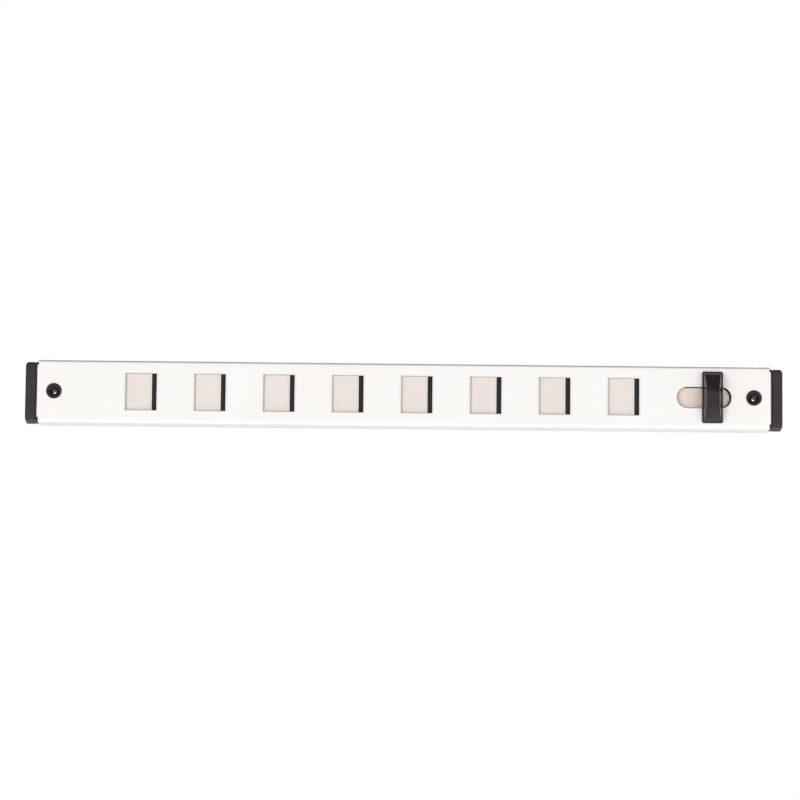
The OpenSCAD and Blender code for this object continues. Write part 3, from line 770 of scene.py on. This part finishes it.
def make_pole_plates():
    """Two thin steel plates beside every magnet, sheared square with the corners just broken. Their
    near-white, almost unmetallic colour is a painted glint along the edges seen in the windows.
    """
    low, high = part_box("pole_plates")
    thick, corner_r, edge_r = 0.8 * MM, 0.08 * MM, 0.1 * MM
    reach = (high[0] - low[0] - (magnet_x[-1] - magnet_x[0]) - thick) / 2
    xs = np.concatenate([magnet_x - reach, magnet_x + reach])
    rings = np.stack([slab_rings(thick / 2, high[2], np.full(4, corner_r), low[1], high[1], (x, 0),
                                 edge_r) for x in xs])
    place(loft("pole_plate_set", rings), "slide", "pole_bright", ["pole_plates"], POLE_GLINT_WHITE)


def make_knob_arm():
    """Flat arm, square where it is riveted and half round at its free end."""
    low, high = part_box("knob_arm")
    half_l, half_h = (high[0] - low[0]) / 2, high[2]
    corner_r, edge_r = 0.6 * MM, 0.2 * MM
    radii = np.array([half_h, corner_r, corner_r, half_h])
    rings = slab_rings(half_l, half_h, radii, low[1], high[1], ((low[0] + high[0]) / 2, 0), edge_r)
    place(loft("arm_plate", rings, smooth_angle=30), "slide", "arm_pale", ["knob_arm"], BEIGE)


def make_knob():
    """Thumb bar and round neck as one closed surface. Rings start at the neck's end, run up its
    side, out under the base and round its rim, then inwards over the top. There the height above
    the base is a soft minimum of the side slopes, the end bevels and a crown that is an arc along
    Z, and never less than a narrow ledge all round. A soft minimum is the lower height less
    r h (1 - h), where h goes from 0 to 1 as the two heights pass each other within r."""
    low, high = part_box("slider_knob")
    half_w, half_l = (high[0] - low[0]) / 2, high[2]
    base_y = front_y - RUN_GAP
    crown, end_height, bevel, top_w = base_y - low[1], 4.9 * MM, 3.0 * MM, 4.1 * MM
    ledge_w, ledge_h, blend_r, rim_r = 0.65 * MM, 0.8 * MM, 0.9 * MM, 1.2 * MM
    end_z = half_l - bevel
    crown_r = (end_z ** 2 + (crown - end_height) ** 2) / (2 * (crown - end_height))

    def soft_min(a, b, r=blend_r):
        h = np.clip(0.5 + (b - a) / (2 * r), 0, 1)
        return b + (a - b) * h - r * h * (1 - h)

    def slopes(x, z):
        side = ledge_h + (half_w - ledge_w - abs(x)) * (crown - ledge_h) / (half_w - ledge_w - top_w)
        end = ledge_h + (half_l - ledge_w - abs(z)) * (end_height - ledge_h) / (bevel - ledge_w)
        arc = crown - crown_r + np.sqrt(crown_r ** 2 - z ** 2)
        return side, end, arc

    def height(x, z):
        side, end, arc = slopes(x, z)
        body = soft_min(soft_min(side, end), arc)
        return -soft_min(-body, np.full_like(body, -ledge_h), 0.3 * MM)

    shape = dict(arc=6, short=10, long=34)
    neck_r, neck_end = (SLOT_L - travel_on - travel_off) / 2 - RUN_GAP, high[1]
    under = [(1e-4, neck_end), (0.5, neck_end), (0.95, neck_end), (1.0, neck_end - 0.25 * MM),
             (1.0, base_y + 0.3 * MM), (1.02, base_y)]
    rings = [(neck_r * s, neck_r * s, neck_r * s, y) for s, y in under]
    rings += [(half_w - 0.35 * MM, half_l - 0.35 * MM, 0.9 * MM, base_y),
              (half_w - 0.1 * MM, half_l - 0.1 * MM, 1.1 * MM, base_y - 0.1 * MM),
              (half_w, half_l, rim_r, base_y - 0.3 * MM),
              (half_w, half_l, rim_r, base_y - ledge_h + 0.25 * MM),
              (half_w - 0.07 * MM, half_l - 0.07 * MM, 1.1 * MM, base_y - ledge_h + 0.08 * MM)]
    half_x, half_z, corner, y = np.array(rings).T
    lower = outlines(half_x, half_z, corner[:, None], **shape)
    lower = np.stack([lower[..., 0], np.repeat(y[:, None], lower.shape[1], 1), lower[..., 1]], -1)
    inset = np.concatenate([np.linspace(0.25 * MM, 3.4 * MM, 34),
                            np.linspace(3.6 * MM, half_w - 1e-7, 12)])
    corner = np.maximum(rim_r - inset, 0.02 * MM)
    upper = outlines(half_w - inset, half_l - inset, corner[:, None], **shape)
    x, z = upper[..., 0], upper[..., 1]
    upper = np.stack([x, base_y - height(x, z), z], -1)
    rings = np.concatenate([lower, upper]) + [knob_x, 0, 0]
    piece = loft("thumb_knob", rings, smooth_angle=60)

    # where the crown and slopes are rounded off; the material paints these paler, as worn plastic and as a
    # painted highlight along the facet edges
    def wear_and_sheen(p):
        x, z = p[:, 0] - knob_x, p[:, 2]
        side, end, arc = slopes(x, z)
        rounded_off = np.minimum(np.minimum(side, end), arc) - height(x, z)
        return np.clip(rounded_off / (0.25 * blend_r), 0, 1) * (p[:, 1] < base_y)
    put_attribute(piece, "wear_and_sheen", wear_and_sheen)
    place(piece, "slide", "knob_black", ["slider_knob"], KNOB_BLACK)


make_front_casing()
make_end_cap("left_end_cap", -1)
make_end_cap("right_end_cap", 1)
make_wall_bush("left_wall_bush", -screw_x)
make_wall_bush("right_wall_bush", screw_x)
make_rail_screws()
make_carrier()
make_magnets()
make_pole_plates()
make_knob_arm()
make_knob()

KEPT = {"back_plate": GALVANISED, "upper_guide_rail": NYLON, "lower_guide_rail": NYLON,
        "left_drag_spring": SPRING, "right_drag_spring": SPRING, "spring_rivets": ZINC,
        "magnet_yoke": YOKE, "yoke_screws": ZINC, "arm_rivets": ZINC, "knob_screws": ZINC}
for node, mat in KEPT.items():
    materials = frame["nodes"][node].data.materials
    materials.clear()
    materials.append(mat)


# ---------------------------------------------------------------- floor, light and camera

def make_floor(z, half, cells=24):
    """A level sheet of paper: a square grid whose cells grow with the cube of their place."""
    t = np.linspace(-1, 1, cells + 1)
    x, y = np.meshgrid(half * t ** 3, half * t ** 3, indexing="ij")
    points = np.stack([x, y, np.full_like(x, z)], -1).reshape(-1, 3)
    n = np.arange((cells + 1) ** 2).reshape(cells + 1, cells + 1)
    quads = np.stack([n[:-1, :-1], n[1:, :-1], n[1:, 1:], n[:-1, 1:]], -1).reshape(-1, 4)
    piece = finish_mesh("floor", points, [quads])
    piece.data.materials.append(studio_floor())


def area_light(name, place_at, aim, size, power):
    """A flat white lamp of the given width and height that faces its aim and isn't seen itself."""
    data = bpy.data.lights.new(name, "AREA")
    data.shape, data.size, data.size_y = "RECTANGLE", *size
    data.energy = power
    lamp = bpy.data.objects.new(name, data)
    lamp.location = place_at
    lamp.rotation_euler = (Vector(aim) - Vector(place_at)).to_track_quat("-Z", "Y").to_euler()
    lamp.visible_camera = False
    bpy.context.scene.collection.objects.link(lamp)


def make_world():
    """White behind everything, and a dimmer, even light from all round."""
    world = bpy.data.worlds.new("studio")
    world.use_nodes = True
    tree = world.node_tree
    seen, lit = tree.nodes["Background"], tree.nodes.new("ShaderNodeBackground")
    seen.inputs["Color"].default_value, seen.inputs["Strength"].default_value = (1, 1, 1, 1), 1.0
    lit.inputs["Color"].default_value, lit.inputs["Strength"].default_value = (1, 0.995, 0.985, 1), 0.16
    path, mix = tree.nodes.new("ShaderNodeLightPath"), tree.nodes.new("ShaderNodeMixShader")
    tree.links.new(path.outputs["Is Camera Ray"], mix.inputs["Fac"])
    tree.links.new(lit.outputs["Background"], mix.inputs[1])
    tree.links.new(seen.outputs["Background"], mix.inputs[2])
    tree.links.new(mix.outputs["Shader"], tree.nodes["World Output"].inputs["Surface"])
    bpy.context.scene.world = world


def make_camera(aim, distance, elevation, roll, view_width):
    """A long lens in front of the rack and a little below it. view_width is what the frame holds
    at the aim, and gives the lens: 36 mm of sensor times distance over width."""
    data = bpy.data.cameras.new("camera")
    data.lens = data.sensor_width * distance / view_width
    data.clip_start, data.clip_end = 0.1, 50
    camera = bpy.data.objects.new("camera", data)
    back = Vector((0, -math.cos(elevation), math.sin(elevation)))
    camera.rotation_euler = (-back).to_track_quat("-Z", "Y").to_euler()
    camera.rotation_euler.rotate_axis("Z", roll)
    camera.location = Vector(aim) + back * distance
    bpy.context.scene.collection.objects.link(camera)
    bpy.context.scene.camera = camera


make_floor(z=-1.0, half=14.0)
make_world()
area_light("key", (-1.3, -1.9, -0.35), (0, 0, 0), (0.8, 0.8), 19)
area_light("fill", (1.4, -1.8, -0.35), (0, 0, 0), (1.2, 1.0), 16.5)
area_light("panel", (0.3, -2.0, 0.33), (0, 0, 0), (1.6, 0.8), 2.6)
area_light("back", (0.9, 1.9, 0.85), (0, 0, 0), (1.4, 0.9), 34)
area_light("floor_wash", (0, 0, -0.15), (0, 0, -1), (28, 28), 1110)
make_camera(aim=(-2.57 * MM, front_y, -3.76 * MM), distance=3.2, elevation=math.radians(-9.4),
            roll=math.radians(0.60), view_width=527.8 * MM)
bpy.context.scene.view_settings.view_transform = "Standard"
